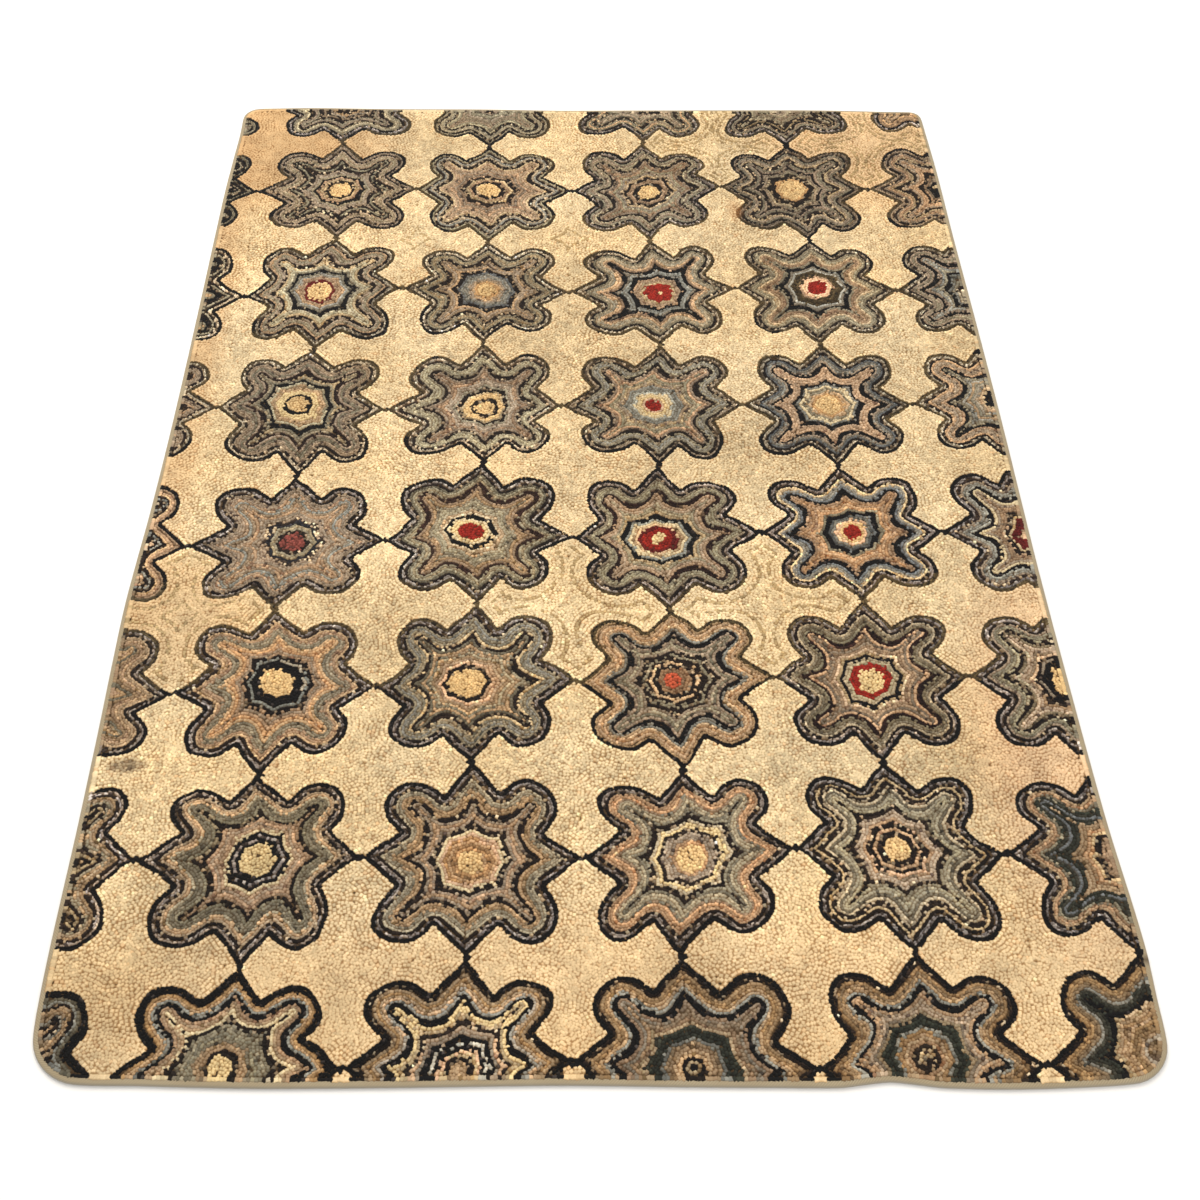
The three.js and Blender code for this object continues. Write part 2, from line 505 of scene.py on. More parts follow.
def thin(loops, least):  # drops a loop that another one already stands in for
    tree = treeOf(loops[:, :2])
    kept = np.ones(len(loops), bool)
    for index, loop in enumerate(loops):
        if not kept[index]:
            continue
        for _, other, _ in tree.find_range((loop[0], loop[1], 0), least):
            if other > index:
                kept[other] = False
    return kept


def settle(loops, rounds=5):  # neighbours push each other apart until they share the room
    half = star["pitch"] / 2
    spots = loops[:, :2].copy()
    want = np.where(loops[:, 3] > lastOutlineRow, star["starRoom"], star["outlineRoom"])
    want = np.where(loops[:, 3] >= 0, want, star["groundRoom"])
    for _ in range(rounds):
        owner = np.arange(len(spots))
        images = [spots]
        owners = [owner]
        for i in (-1, 0, 1):
            for j in (-1, 0, 1):
                if i or j:
                    moved = spots + np.array([i, j]) * star["pitch"]
                    close = np.abs(moved).max(1) < half + 8
                    images.append(moved[close])
                    owners.append(owner[close])
        cloud = np.vstack(images)
        who = np.concatenate(owners)
        tree = treeOf(cloud)
        push = np.zeros_like(spots)
        for index, spot in enumerate(spots):
            for _, other, reach in tree.find_range((spot[0], spot[1], 0), star["groundRoom"]):
                room = (want[index] + want[who[other]]) / 2
                if 0.01 < reach < room:
                    push[index] += (spot - cloud[other]) / reach * (room - reach) * 0.3
        spots += np.clip(push, -0.6, 0.6)
    loops[:, :2] = spots
    return loops


def insideStar(points):  # a test for points against the outline, by the sides that a ray crosses
    ahead = np.roll(points, -1, 0)

    def test(spot):
        span = (points[:, 1] > spot[1]) != (ahead[:, 1] > spot[1])
        rise = np.where(np.abs(ahead[:, 1] - points[:, 1]) < 1e-9, 1e-9, ahead[:, 1] - points[:, 1])
        cross = points[:, 0] + (spot[1] - points[:, 1]) / rise * (ahead[:, 0] - points[:, 0])
        return bool(np.count_nonzero(span & (cross > spot[0])) % 2)

    return test


def layLoops():  # every cell's loops on the rug, with the hand-drawn wander of the repeat
    points, normals, isFan = starOutline()
    runs, outlineTree = contourRuns(points, normals, isFan)
    inside = insideStar(points[~isFan])
    chance = np.random.default_rng(star["seed"])
    cells = [cellLoops(runs, outlineTree, inside, chance) for _ in range(star["variants"])]
    print("one star cell has", [len(cell) for cell in cells], "loops")
    laid = []
    for row in range(layout["rows"]):
        for column in range(layout["columns"]):
            cell = cells[(row * 2 + column) % len(cells)].copy()
            quarter = chance.integers(4)
            flip = chance.integers(2)
            x, y, turn = cell[:, 0], cell[:, 1], cell[:, 2]
            if flip:
                x, turn = -x, math.pi - turn
            for _ in range(quarter):
                x, y, turn = -y, x, turn + math.pi / 2
            middleX = (column - layout["firstColumn"]) * star["pitch"]
            middleY = (layout["firstRow"] - row) * star["pitch"]
            ones = np.ones(len(cell))
            laid.append(np.column_stack([
                x + middleX, y + middleY, turn, cell[:, 3], ones * row, ones * column, x, y]))
    laid = np.vstack(laid)
    x, y = laid[:, 0].copy(), laid[:, 1].copy()
    rowPlace = np.clip(layout["firstRow"] - y / star["pitch"], 0, layout["rows"] - 1)
    drift = np.array(layout["rowDrift"], float)
    seed = layout["seed"]
    jitter = np.where(laid[:, 3] > lastOutlineRow, layout["starJitter"], layout["jitter"])
    laid[:, 0] += np.interp(rowPlace, range(len(drift)), drift[:, 0]) + layout["shift"][0]
    laid[:, 1] += np.interp(rowPlace, range(len(drift)), drift[:, 1]) + layout["shift"][1]
    for axis in (0, 1):
        laid[:, axis] += layout["wander"] * softNoise(x, y, star["pitch"] / 2, seed + axis)
        laid[:, axis] += layout["wobble"] * softNoise(x, y, layout["wobbleSize"], seed + 2 + axis)
        laid[:, axis] += layout["shake"] * softNoise(x, y, layout["shakeSize"], seed + 4 + axis)
        laid[:, axis] += chance.normal(0, 1, len(laid)) * jitter
    return laid


# Yarns by letter: colour, how much loops differ, and flecks with their shares, which make a strip tweedy
yarns = {
    "K": ("#0f0c0b", 0.3, [("#3b3532", 0.05)]),  # black
    "B": ("#211813", 0.3, [("#8d7a60", 0.12), ("#bcab8d", 0.04)]),  # dark brown
    "m": ("#2b1915", 0.25, [("#75604c", 0.08)]),  # maroon brown
    "O": ("#55472d", 0.22, [("#2e271b", 0.18)]),  # olive brown
    "L": ("#928984", 0.2, [("#bbb2a9", 0.2), ("#463c37", 0.2)]),  # lavender grey
    "l": ("#ab9d85", 0.22, [("#d2c6ac", 0.15), ("#5c5040", 0.2)]),  # stone
    "w": ("#332821", 0.25, [("#d6c6a0", 0.3), ("#8c7a62", 0.2)]),  # pepper
    "G": ("#908770", 0.13, [("#575042", 0.05)]),  # grey olive
    "g": ("#a1987c", 0.12, [("#736a54", 0.05)]),  # pale grey green
    "T": ("#b59772", 0.13, [("#80653f", 0.05)]),  # camel
    "t": ("#bca680", 0.12, [("#a3865b", 0.08)]),  # light tan
    "R": ("#b68e66", 0.13, [("#9a683f", 0.06)]),  # fawn
    "P": ("#b29373", 0.13, [("#87664f", 0.05)]),  # rose tan
    "p": ("#dab38f", 0.1, []),  # pale pink
    "M": ("#988772", 0.13, [("#56473e", 0.06)]),  # mauve grey
    "U": ("#8b8a80", 0.12, [("#55564f", 0.05)]),  # cool grey
    "u": ("#a1a297", 0.14, []),  # pale cool grey
    "S": ("#64686a", 0.18, []),  # steel grey
    "C": ("#ead09a", 0.09, []),  # cream
    "c": ("#e0cda4", 0.1, []),  # pale cream
    "Y": ("#e7c48b", 0.13, []),  # peach
    "y": ("#cba06c", 0.14, []),  # apricot
    "X": ("#96261a", 0.16, []),  # red
    "x": ("#641c18", 0.16, []),  # dark red
    "Z": ("#c05a3c", 0.14, []),  # coral
    "Q": ("#8c4a40", 0.22, [("#54302a", 0.25)]),  # maroon rose
    "D": ("#30332a", 0.2, []),  # dark green
    "b": ("#20222a", 0.22, []),  # blue black
    "r": ("#bd9262", 0.16, [("#a87f52", 0.1)]),  # ring tan
    "e": ("#b0976c", 0.15, []),  # drab tan
    "n": ("#a38258", 0.14, [("#7a5c3a", 0.08)]),  # nut brown
    "W": ("#dcc59b", 0.12, [("#d4b488", 0.05)]),  # ground cream
}

# Colour plan, one word for each star: its rows of yarn from the outline to the middle
colourPlan = [
    "BGBGMBGBMGBMBGMBGBMB BLBGGgBMGBMBMTBBTTTT OGBgGBgGMGMGgGMBKKKK"
    " OLBgPgBGMGMBGMGMBMMM KLBGMBtBGGMGMMTMTMMM KLKPTPTPTMTPMTPMTMTM",
    "OGKBGKMKBGKBGMKBGKMB OMBMGMBgBMMGKPtBYYYY OgBUGBtPMPMPBtPBYYYY"
    " KLBgMgBMPgMtBPPBYYYY KMBGMtBGMBMGBByYYYYy KMBMPtBMPPBPMKtPyYYY",
    "OlBGBKGTBGKTBGTBGTBG OlBTGMBtgGKGUPPxYYYY OlBgtGBTMTBSUUMTyYYY"
    " OlBgtGTPKUUKPPtXXXXC OlBGgtTPGKUUOOOppXXX OlBMGMKMUGKUGBMBpXXx",
    "OlBMMPBMGBMPBGMBPMBM OlBMMGMmtGKgTTCCKYYY OlBGgGBMPMMGBtYYBYYY"
    " OlBGUgBMPgtMUUucCpXX OlBSUMKPPPKUcGTyYYYY OlBPMMPKGUTGUTtKYYYY",
    "KPPTBUBPMTBUPTMBTPMB KLBMMPUMPMMwbgGBQQQQ KLBGgGmPTGgGTtKcCXXX"
    " KLBGgGmPPgtKucTxXXCC KLBtUSKPRPRGKSUpYXXX KLBMUuKcMPPBtxxPCCXX",
    "OLBTTPTGTPTGBTPTGTBT OLBTPGGTRPPBuKKYYYYY OLBGUGtBGTGTPpBYYYYY"
    " OTTRTUKMGMBGBTBRRZZZ OLBgGgmPMPPtKggXXCCC OLBMGgBGMMPBMKKYYYYY",
    "KLBTTGBtBTGBTGTBTGBT KLBTTGGgBPPPcKLKCCCC KLBGGTTBMPMBcprrrYYY"
    " KLBRRRGGGBtCBMMRYYYY KLBtBGGGgBMMpBPBYYYY KLBTRGDSDTTRtBPPTTPP",
    "KKGUBTTUBTGTBTGTBTGT KKnTUKPTcBGGgGTTBCCC KBnnTUKCtBPMKuKptBTT"
    " KBnnTUKPMPtDDUnTTBtB KBnnTUKPMMtDDUnTRBtB KBnnnUDDKtTnTnnTMTnT",
]
outlineBands = [(3.25, "O"), (4.3, "K"), (5.0, "O"), (9.0, "K")]  # outline yarn down the rug, in repeats
rowMix = ("#ad9068", "#8a7c68", "#a38a72", "#7f7b6e")  # a row is often of two strips hooked together
groundEchoes = [  # crosses with a darker row or two among the cream: column, row, rows out, yarn, share
    {"cross": (0.5, 4.5), "rows": (2, 6), "yarn": "e", "share": 0.8},
    {"cross": (2.5, 4.5), "rows": (3,), "yarn": "e", "share": 0.85},
    {"cross": (3.5, 4.5), "rows": (3,), "yarn": "e", "share": 0.85},
    {"cross": (1.5, 1.5), "rows": (6,), "yarn": "e", "share": 0.8},
    {"cross": (2.5, 1.5), "rows": (6,), "yarn": "e", "share": 0.8},
    {"cross": (3.5, 0.5), "rows": (2, 4), "yarn": "e", "share": 0.8},
    {"cross": (4.5, 0.5), "rows": (2, 4), "yarn": "e", "share": 0.8},
]
groundTones = [  # where the cream is of another dye lot or soiled: middle and reach in mm, tint, strength
    {"middle": (-640, 960), "reach": (230, 200), "tint": "#c39a68", "strength": 0.75},
    {"middle": (-720, 450), "reach": (60, 700), "tint": "#c9a070", "strength": 0.55},
    {"middle": (-650, -290), "reach": (120, 120), "tint": "#cda878", "strength": 0.5},
    {"middle": (560, 930), "reach": (180, 200), "tint": "#d8ae80", "strength": 0.45},
    {"middle": (690, -560), "reach": (120, 330), "tint": "#dcb28a", "strength": 0.55},
    {"middle": (0, -980), "reach": (900, 170), "tint": "#dcb684", "strength": 0.4},
]
marks = [  # worn or stained places on the loops
    {"middle": (-686, -570), "reach": (24, 12), "tint": "#4a382b", "strength": 0.85},
    {"middle": (298, 721), "reach": (14, 30), "tint": "#a5713f", "strength": 0.6},
    {"middle": (716, -1039), "reach": (8, 6), "tint": "#3a2b24", "strength": 0.9},
]
pile = {
    "rootLevel": 5.75,
    "tipLevel": 9.0,
    "unevenTips": 0.3,
    "grooveLevel": 6.5,  # below this the loops get painted shade, darker towards their roots where neighbours press together
    "shadeFreeLevel": 8.2,
    "grooveShade": (0.5, 0.4, 0.3),
    "starGrooves": 0.2,  # share of that painted shade kept off the stars, whose yarns are hooked closer
    "strips": 6,
    "edgeInset": 10.2,  # the row of loops that spills over the tape
    "edgeRoot": 7.0,
    "edgeLoopGap": 5.0,
    "edgeRowGap": 4.6,
    "edgeRowShare": 0.86,  # share of that gap that the field keeps from the outer row
    "leastGap": 2.6,
    "seed": 311,
}


def blobWeight(spots, blob):  # 1 in the middle of a soft oval, 0 outside
    middle = np.array(blob["middle"])
    reach = np.array(blob["reach"])
    away = np.hypot(*((spots - middle) / reach).T)
    fall = np.clip(1.5 - away, 0, 1)
    return fall * fall * (3 - 2 * fall) * blob["strength"]


def edgeGap(spots):  # how far each spot lies inside the rug's edge, in mm, or below 0 outside
    reach = np.hypot(*edgePath.T)
    bearing = np.arctan2(edgePath[:, 1], edgePath[:, 0])
    order = np.argsort(bearing)
    rim = np.interp(np.arctan2(spots[:, 1], spots[:, 0]), bearing[order], reach[order],
                    period=2 * math.pi)
    away = rim - np.hypot(*spots.T)
    dense = np.vstack([edgePath * (1 - share) + np.roll(edgePath, -1, 0) * share
                       for share in (0, 0.25, 0.5, 0.75)])
    tree = treeOf(dense)
    near = np.where((away > 0) & (away < 60))[0]
    for index in near:
        away[index] = tree.find((spots[index][0], spots[index][1], 0))[2]
    return away


def cutToEdge(laid):  # loops inside the tape, with one row that follows it all round
    gap = edgeGap(laid[:, :2])
    field = laid[gap > pile["edgeInset"] + pile["edgeRowShare"] * pile["edgeRowGap"]]
    bar = edgePath - edgeOutward * pile["edgeInset"]
    length = np.concatenate([[0], np.cumsum(np.linalg.norm(np.roll(bar, -1, 0) - bar, axis=1))])
    count = int(length[-1] / pile["edgeLoopGap"])
    spots = np.arange(count) * length[-1] / count
    closed = np.vstack([bar, bar[:1]])
    turn = np.unwrap(np.arctan2(edgeRunning[:, 1], edgeRunning[:, 0]))
    turn = np.append(turn, turn[0] + 2 * math.pi)
    x = np.interp(spots, length, closed[:, 0])
    y = np.interp(spots, length, closed[:, 1])
    tree = treeOf(field[:, :2])
    like = [tree.find((a, b, 0))[1] for a, b in zip(x, y)]
    beside = field[like].copy()
    beside[:, 0] = x
    beside[:, 1] = y
    beside[:, 2] = np.interp(spots, length, turn)
    both = np.vstack([beside, field])
    roots = np.full(len(both), pile["rootLevel"])
    roots[:len(beside)] = pile["edgeRoot"]
    return np.column_stack([both, roots])[thin(both, pile["leastGap"])]


dyeing = {
    "stray": (1.5, 26, 11),  # how far a ring's border strays in mm, over what size and with what seed
    "strayLoops": 0.6,
    "drift": (0.5, 0.05, 62, 12),  # a slower drift: at the outline, more by share of depth, size, seed
    "neck": (5.4, 8.0),  # half width and length of the join between two stars' tips
    "echoReach": 0.45,  # in repeats
    "darkLetters": "BKmD",
    "pureLetters": "KXxZCcYyQ",  # yarns that are never hooked with a second strip
    "strands": 2 ** 16,
    "mixShares": (0, 0.1, 0.2, 0.35),
    "rowTone": (0.02, 0.24),
    "pepper": (0.05, 0.16),  # how much single loops differ, in pure and in mixed rows
    "starShade": 0.9,
    "rimShade": 1.1,  # the ground is paler beside an outline
    "patches": ((0.11, 14, 21), (0.1, 55, 22), (0.15, 210, 23)),  # strength, size in mm and seed
    "warmth": (0.0, -0.03, -0.08),
    "warmthSize": 120,
}


def dyeLoops(loops):  # one linear colour for each loop
    chance = np.random.default_rng(pile["seed"])
    count = len(loops)
    x, y = loops[:, 0], loops[:, 1]
    depth = loops[:, 3].astype(int)
    row = loops[:, 4].astype(int)
    column = loops[:, 5].astype(int)
    inStar = depth >= 0
    edges = rowEdges()
    middles = (edges[1:] + edges[:-1]) / 2
    inner = np.clip(depth, 0, star["rows"] - 1)
    loose = np.clip((middles[inner] - 12) / 14, 0.25, 1)  # the outline's rows keep their course
    far, size, seed = dyeing["stray"]
    stray = far * softNoise(x, y, size, seed) + chance.normal(0, dyeing["strayLoops"], count)
    deepMm = middles[inner] + loose * stray
    least, share, size, seed = dyeing["drift"]
    deepMm += loose * (least + share * middles[inner]) * softNoise(x, y, size, seed)
    band = np.searchsorted(bandEdges(), deepMm, side="right") - 1
    band = np.where(depth > 1, np.clip(band, 1, star["bands"] - 1), 0)
    chart = np.array([[list(word) for word in words.split()] for words in colourPlan])
    letters = np.where(inStar, chart[row, column, band], "W")
    for reach in (-star["darkSpread"], star["darkSpread"]):
        beside = np.searchsorted(bandEdges(), deepMm + reach, side="right") - 1
        beside = chart[row, column, np.clip(beside, 1, star["bands"] - 1)]
        spreads = (depth > lastOutlineRow) & np.isin(beside, list(dyeing["darkLetters"]))
        letters = np.where(spreads, beside, letters)
    rowPlace = layout["firstRow"] - (y - layout["shift"][1]) / star["pitch"]
    columnPlace = layout["firstColumn"] + (x - layout["shift"][0]) / star["pitch"]
    outline = inStar & (band == 0)
    localX, localY = np.abs(loops[:, 6]), np.abs(loops[:, 7])
    toBorder = star["pitch"] / 2 - np.maximum(localX, localY)
    neckWidth, neckLength = dyeing["neck"]
    outline |= (np.minimum(localX, localY) < neckWidth) & (toBorder < neckLength)
    start = -1.0
    for end, letter in outlineBands:
        letters[outline & (rowPlace >= start) & (rowPlace < end)] = letter
        start = end
    letters[outline & (rowPlace < 2.6) & (softNoise(x, y, 90, 5) > 0.25)] = "K"
    for echo in groundEchoes:
        near = np.hypot(columnPlace - echo["cross"][0], rowPlace - echo["cross"][1]) < dyeing["echoReach"]
        for out in echo["rows"]:
            hit = near & (depth == -1 - out) & (chance.random(count) < echo["share"])
            letters[hit] = echo["yarn"]
    colours = np.zeros((count, 3))
    strands = dyeing["strands"]
    strand = chance.integers(0, strands, (layout["rows"], layout["columns"], 64))[row, column, depth + 20]
    for letter, (colour, spread, flecks) in yarns.items():
        mine = np.where(letters == letter)[0]
        colours[mine] = linear(colour)
        pick = chance.random(len(mine))
        floorShare = 0.0
        for fleck, share in flecks:
            hit = mine[(pick >= floorShare) & (pick < floorShare + share)]
            colours[hit] = linear(fleck)
            floorShare += share
        colours[mine] *= np.exp(chance.normal(0, spread, len(mine)))[:, None]
    ground = letters == "W"
    mixed = inStar & ~np.isin(letters, list(dyeing["pureLetters"]))
    share = np.random.default_rng(9).choice(dyeing["mixShares"], strands)[strand]
    mixShare = np.where(mixed, share, 0)
    second = np.random.default_rng(10).integers(0, len(rowMix), strands)[strand]
    mixYarn = np.array([linear(tone) for tone in rowMix])[second]
    mixYarn *= colours.mean(1, keepdims=True) / mixYarn.mean(1, keepdims=True)
    colours += (mixYarn - colours) * mixShare[:, None]
    rowTone = np.exp(np.random.default_rng(13).normal(*dyeing["rowTone"], strands)[strand])
    colours *= np.where(mixed, rowTone, 1)[:, None]
    purePepper, mixedPepper = dyeing["pepper"]
    colours *= np.exp(chance.normal(0, 1, count) * np.where(mixed, mixedPepper, purePepper))[:, None]
    rimShade = np.where(depth == -1, dyeing["rimShade"], 1)
    colours *= np.where(inStar, dyeing["starShade"], rimShade)[:, None]
    spots = loops[:, :2]
    for tone in groundTones:
        weight = np.where(ground, blobWeight(spots, tone), 0)[:, None]
        colours = colours * (1 - weight) + np.array(linear(tone["tint"])) * weight
    for mark in marks:
        weight = (blobWeight(spots, mark) * chance.uniform(0.5, 1.1, count)).clip(0, 1)[:, None]
        colours = colours * (1 - weight) + np.array(linear(mark["tint"])) * weight
    strip = np.ones(count)
    for strength, size, seed in dyeing["patches"]:
        strip = strip + strength * softNoise(x, y, size, seed)
    warmth = 1 + softNoise(x, y, dyeing["warmthSize"], 24)[:, None] * np.array(dyeing["warmth"])
    return (colours * strip[:, None] * warmth).clip(0.004, 0.95)


def makeWool():  # strips of wool cloth and yarn pulled up in loops: matt, fibrous, soft at grazing angles, with painted shade between the loops
    material, tree, shader = newMaterial("hookedWool")
    place = addNode(tree, "TexCoord")
    dye = addNode(tree, "Attribute", {"attribute_name": "dye"})
    fibre = addNode(tree, "TexNoise", None, {  # fibres about 1.2 mm apart
        "Vector": place.outputs["Object"], "Scale": 1 / (1.2 * mm), "Detail": 3.0, "Roughness": 0.6})
    felted = addNode(tree, "MapRange", None, {
        "Value": fibre.outputs["Fac"], "From Min": 0.3, "From Max": 0.7, "To Min": 0.82, "To Max": 1.12})
    split = addNode(tree, "SeparateXYZ", None, {0: place.outputs["Object"]})
    # painted shade: the dye is darkened by height, most at the roots between loops, less where the dye's
    # alpha says
    groove = addNode(tree, "MapRange", {"interpolation_type": "SMOOTHSTEP"}, {
        "Value": split.outputs["Z"], "From Min": pile["grooveLevel"] * mm,
        "From Max": pile["shadeFreeLevel"] * mm, "To Min": dye.outputs["Alpha"]})
    paintedShade = addNode(tree, "VectorMath", {"operation": "MULTIPLY"}, {
        0: dye.outputs["Color"], 1: pile["grooveShade"]})
    shadedDye = addNode(tree, "Mix", {"data_type": "RGBA"}, {
        0: groove.outputs[0], 6: paintedShade.outputs[0], 7: dye.outputs["Color"]})
    tone = addNode(tree, "VectorMath", {"operation": "SCALE"}, {
        0: shadedDye.outputs[2], "Scale": felted.outputs[0]})
    rough = addNode(tree, "MapRange", None, {
        "Value": fibre.outputs["Fac"], "To Min": 0.84, "To Max": 0.98})
    lift = addNode(tree, "Bump", None, {
        "Height": fibre.outputs["Fac"], "Strength": 0.5, "Distance": 0.5 * mm})
    tree.links.new(tone.outputs[0], shader.inputs["Base Color"])
    tree.links.new(rough.outputs[0], shader.inputs["Roughness"])
    tree.links.new(lift.outputs[0], shader.inputs["Normal"])
    shader.inputs["Specular IOR Level"].default_value = 0.25
    shader.inputs["Sheen Weight"].default_value = 0.04
    shader.inputs["Sheen Roughness"].default_value = 0.6
    return material


loopShape = {  # pairs are for the ground and for a star
    "long": (1.26, 1.38),  # against the spacing of the loops, so that neighbours press together
    "longSpread": (0.93, 1.07),
    "wideSpread": (1.3, 1.5),  # against the spacing of the rows
    "ridge": (0.22, 0.3),  # length of the ridge against the loop's
    "turn": (0.2, 0.35),
    "lean": 0.3,
    "cornerJitter": 0.35,
    "ridgeTilt": 0.3,
}


def loopMesh(loops, colours, chance):  # a ridge along the row over a four-cornered root: six triangles
    count = len(loops)
    inStar = loops[:, 3] >= 0
    gaps = np.diff(rowEdges())[np.clip(loops[:, 3], 0, star["rows"] - 1).astype(int)]
    tight = np.where(loops[:, 3] > lastOutlineRow, squeezeAt(loops[:, 6], loops[:, 7]), 1)
    pick = inStar.astype(int)
    long = np.where(inStar, star["loopGap"], star["groundLoopGap"]) / 2 * np.array(loopShape["long"])[pick]
    long = long * chance.uniform(*loopShape["longSpread"], count)
    wide = np.where(inStar, gaps / tight, star["groundRowGap"]) / 2
    wide = wide * chance.uniform(*loopShape["wideSpread"], count)
    turn = loops[:, 2] + chance.normal(0, 1, count) * np.array(loopShape["turn"])[pick]
    lean = chance.normal(0, loopShape["lean"], (count, 2))
    ridge = np.array(loopShape["ridge"])[pick]
    jitter = loopShape["cornerJitter"]
    localX = long[:, None] * np.array([1, -1, -1, 1, 1, -1])
    localX[:, 4:] *= ridge[:, None]
    localY = wide[:, None] * np.array([1, 1, -1, -1, 0, 0])
    localX[:, :4] += chance.normal(0, jitter, (count, 4))
    localY[:, :4] += chance.normal(0, jitter, (count, 4))
    localX[:, 4:] += lean[:, :1]
    localY[:, 4:] += lean[:, 1:]
    cosine = np.cos(turn)[:, None]
    sine = np.sin(turn)[:, None]
    points = np.zeros((count, 6, 3))
    points[:, :, 0] = loops[:, :1] + localX * cosine - localY * sine
    points[:, :, 1] = loops[:, 1:2] + localX * sine + localY * cosine
    points[:, :4, 2] = loops[:, 8:9]
    height = pile["tipLevel"] + chance.normal(0, pile["unevenTips"], count).clip(-0.8, 0.6)
    tilt = loopShape["ridgeTilt"]
    points[:, 4:, 2] = height[:, None] + chance.uniform(-tilt, tilt, (count, 2))
    pattern = np.array([(0, 1, 5), (0, 5, 4), (2, 3, 4), (2, 4, 5), (3, 0, 4), (1, 2, 5)])
    faces = (pattern[None] + np.arange(count)[:, None, None] * 6).reshape(-1, 3)
    dye = np.ones((count, 6, 4))
    dye[:, :, :3] = colours[:, None, :]
    # the alpha says how much of the painted shade at the roots is kept off
    dye[:, :, 3] = np.where(inStar, pile["starGrooves"], 0)[:, None]
    return points.reshape(-1, 3) * mm, faces, dye.reshape(-1, 4)


def foldedMap(points, faces, loops):  # the strip's plan, cut across so that both halves fill the map
    flat = points[:, :2] / mm
    low = flat.min(0)
    span = flat.max(0) - low
    owner = np.arange(len(points)) // 6
    upper = loops[owner, 1] > low[1] + span[1] / 2
    u = (flat[:, 0] - low[0]) / span[0] * 0.485 + np.where(upper, 0.5075, 0.0075)
    v = (flat[:, 1] - low[1] - np.where(upper, span[1] / 2, 0)) / (span[1] / 2) * 0.975 + 0.0125
    return np.column_stack([u, v])[faces.ravel()]


def buildPile():
    loops = cutToEdge(layLoops())
    colours = dyeLoops(loops)
    print("pile of", len(loops), "loops,", len(loops) * 6, "triangles")
    wool = makeWool()
    chance = np.random.default_rng(pile["seed"] + 1)
    bounds = np.linspace(loops[:, 0].min() - 1, loops[:, 0].max() + 1, pile["strips"] + 1)
    strips = []
    for number in range(pile["strips"]):
        mine = (loops[:, 0] >= bounds[number]) & (loops[:, 0] < bounds[number + 1])
        points, faces, dye = loopMesh(loops[mine], colours[mine], chance)
        piece = newPiece(f"loop_pile_{number + 1}", points, faces, wool)
        layer = piece.data.color_attributes.new("dye", "FLOAT_COLOR", "POINT")
        layer.data.foreach_set("color", dye.astype(np.float32).ravel())
        plan = piece.data.uv_layers.new(name="OFBake")
        plan.data.foreach_set("uv", foldedMap(points, faces, loops[mine]).astype(np.float32).ravel())
        strips.append(piece)
    return strips


pileStrips = buildPile()
print("loop pile in", len(pileStrips), "strips")


# Binding: one length of cotton tape folded round the edge, its ends lapped at the right
tape = {
    "face": 11.0,
    "back": 14.0,
    "roll": 3.3,
    "height": 6.6,
    "thickness": 1.15,
    "pucker": 0.12,
    "edgeWander": 0.45,
    "joinAt": (737, -905),  # where the ends lap, on the right edge above the corner
    "lap": 16.0,
    "lapRise": 0.4,
    "thread": 2.0,
    "colour": "#a99b80",
    "shadeColour": "#93866c",
    "wornColour": "#9a9282",
    "soilColour": "#8d7a5c",
    "seamColour": "#4b3d2c",
    "seamShade": 0.8,
    "bakeRows": 12,
    "seed": 41,
}


def makeTape():  # cotton twill tape: matt khaki, fine diagonal ribs, greyed where the fold rubs the floor
    material, tree, shader = newMaterial("cottonTwillTape")
    run = addNode(tree, "UVMap", {"uv_map": "tapeRun"})
    place = addNode(tree, "TexCoord")
    scale = 1 / (tape["thread"] * mm) / waveBands  # real ribs are 0.8 mm; drawn at 2 mm so that they show
    rib = addNode(tree, "TexWave", {"bands_direction": "DIAGONAL"}, {
        "Vector": run.outputs[0], "Scale": scale, "Distortion": 0.6, "Detail": 1.0})
    soil = addNode(tree, "TexNoise", None, {
        "Vector": place.outputs["Object"], "Scale": 1 / (60 * mm), "Detail": 4.0})
    ribTone = addNode(tree, "Mix", {"data_type": "RGBA"}, {
        0: rib.outputs["Fac"], 6: (*linear(tape["shadeColour"]), 1), 7: (*linear(tape["colour"]), 1)})
    soilShare = addNode(tree, "MapRange", None, {
        "Value": soil.outputs["Fac"], "From Min": 0.35, "From Max": 0.75, "To Min": 0.0, "To Max": 0.4})
    soiled = addNode(tree, "Mix", {"data_type": "RGBA"}, {
        0: soilShare.outputs[0], 6: ribTone.outputs[2], 7: (*linear(tape["soilColour"]), 1)})
    split = addNode(tree, "SeparateXYZ", None, {0: run.outputs[0]})
    fold = addNode(tree, "MapRange", {"interpolation_type": "SMOOTHSTEP"}, {
        "Value": split.outputs["Y"], "From Min": 8.0 * mm, "From Max": 13.0 * mm})
    worn = addNode(tree, "Mix", {"data_type": "RGBA"}, {
        0: fold.outputs[0], 6: soiled.outputs[2], 7: (*linear(tape["wornColour"]), 1)})
    seam = addNode(tree, "Attribute", {"attribute_name": "seamShade"})
    sewn = addNode(tree, "Mix", {"data_type": "RGBA"}, {
        0: seam.outputs["Fac"], 6: worn.outputs[2], 7: (*linear(tape["seamColour"]), 1)})
    lift = addNode(tree, "Bump", None, {
        "Height": rib.outputs["Fac"], "Strength": 0.35, "Distance": 0.25 * mm})
    tree.links.new(sewn.outputs[2], shader.inputs["Base Color"])
    tree.links.new(lift.outputs[0], shader.inputs["Normal"])
    shader.inputs["Roughness"].default_value = 0.88
    shader.inputs["Specular IOR Level"].default_value = 0.25
    shader.inputs["Sheen Weight"].default_value = 0.1
    return material


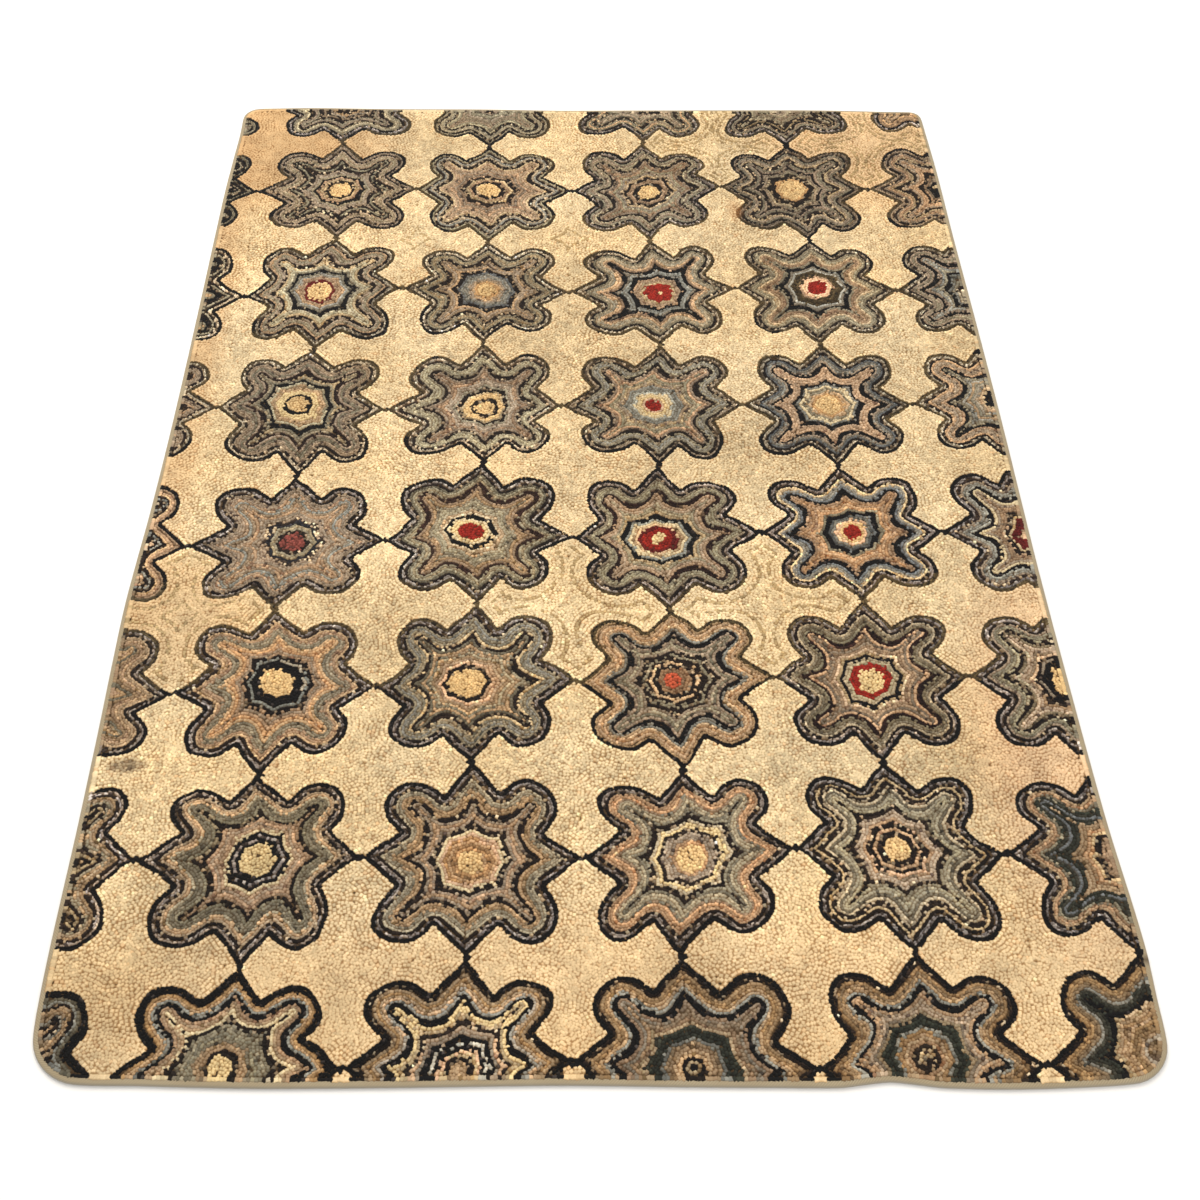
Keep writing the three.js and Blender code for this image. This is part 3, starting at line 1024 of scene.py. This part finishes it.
def buildTape():
    along = edgeAlong[:-1]
    roll = tape["roll"]
    thick = tape["thickness"]
    top = tape["height"]
    join = int(np.argmin(np.hypot(*(edgePath - np.array(tape["joinAt"])).T)))
    after = (along - along[join]) % edgeAlong[-1]
    lapped = np.where(after < tape["lap"], tape["lapRise"] * (1 - after / tape["lap"]), 0)  # upper end
    ripple = tape["pucker"] * (softNoise(along, along * 0, 23, tape["seed"])
                               + softNoise(along, along * 0, 61, tape["seed"] + 1))
    sway = tape["edgeWander"] * softNoise(along, along * 0, 48, tape["seed"] + 2)
    section = [
        (tape["face"] + sway, top - 0.75),
        (tape["face"] - 0.5 + sway, top - 0.1 + lapped + 0.5 * ripple),
        (tape["face"] * 0.66, top + 0.15 + lapped + ripple),
        (roll + 0.6, top + 0.05 + lapped + ripple),
    ]
    swell = roll + 0.25 * lapped
    for angle in (65, 40, 15, -15, -40, -65):
        bend = math.radians(angle)
        section.append((roll - swell * math.cos(bend), top / 2 + top / 2 * math.sin(bend)))
    section += [
        (roll + 0.8, 0),
        (tape["back"], 0),
        (tape["back"], thick),
        (roll, thick),
        (thick + 0.2, top / 2),
        (roll, top - thick),
        (tape["face"] - 0.2 + sway, top - thick - 0.2),
    ]
    rings = sweepEdge(section)
    rings[:, :, 2] = rings[:, :, 2].clip(0, None)
    stations, sides = rings.shape[:2]
    here = np.arange(stations)[:, None] * sides
    ahead = (np.arange(stations)[:, None] + 1) % stations * sides
    near = np.arange(sides)[None]
    far = (np.arange(sides)[None] + 1) % sides
    quads = np.stack([here + near, here + far, ahead + far, ahead + near], -1).reshape(-1, 4)
    piece = newPiece("edge_tape", rings.reshape(-1, 3) * mm, quads, makeTape())
    ring = np.vstack([rings[200], rings[200, :1]])  # one closed section, on a straight side
    girth = np.concatenate([[0], np.cumsum(np.linalg.norm(np.diff(ring, axis=0), axis=1))])
    station = np.repeat(np.arange(stations), sides)
    side = np.tile(np.arange(sides), stations)
    runU = edgeAlong[np.stack([station, station, station + 1, station + 1], 1)]
    runV = np.stack([girth[side], girth[side + 1], girth[side + 1], girth[side]], 1)
    weave = piece.data.uv_layers.new(name="tapeRun")
    weave.data.foreach_set("uv", (np.stack([runU, runV], -1) * mm).astype(np.float32).ravel())
    rows = tape["bakeRows"]  # the long tape is mapped in rows for its own texture
    rowLength = edgeAlong[-1] / rows
    bakeRow = np.floor((edgeAlong[station] + 0.01) / rowLength).clip(0, rows - 1)[:, None]
    bakeU = (runU - bakeRow * rowLength) / (rowLength * 1.06) + 0.005
    bakeV = (bakeRow + 0.05 + 0.9 * runV / girth[-1]) / rows
    bake = piece.data.uv_layers.new(name="OFBake")
    bake.data.foreach_set("uv", np.stack([bakeU, bakeV], -1).astype(np.float32).ravel())
    shade = np.zeros((stations, sides))
    shade[join, :8] = tape["seamShade"]  # only on the faces that show
    seam = piece.data.attributes.new("seamShade", "FLOAT", "POINT")
    seam.data.foreach_set("value", shade.astype(np.float32).ravel())
    print("tape section is", round(girth[-1] / 2, 1), "mm wide,", len(quads), "faces")
    return piece


binding = buildTape()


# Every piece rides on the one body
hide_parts("hooked_field")
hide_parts("edge_binding")
for strip in pileStrips:
    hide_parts("hooked_field")
for piece in [foundation, binding, *pileStrips]:
    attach(piece, "root")
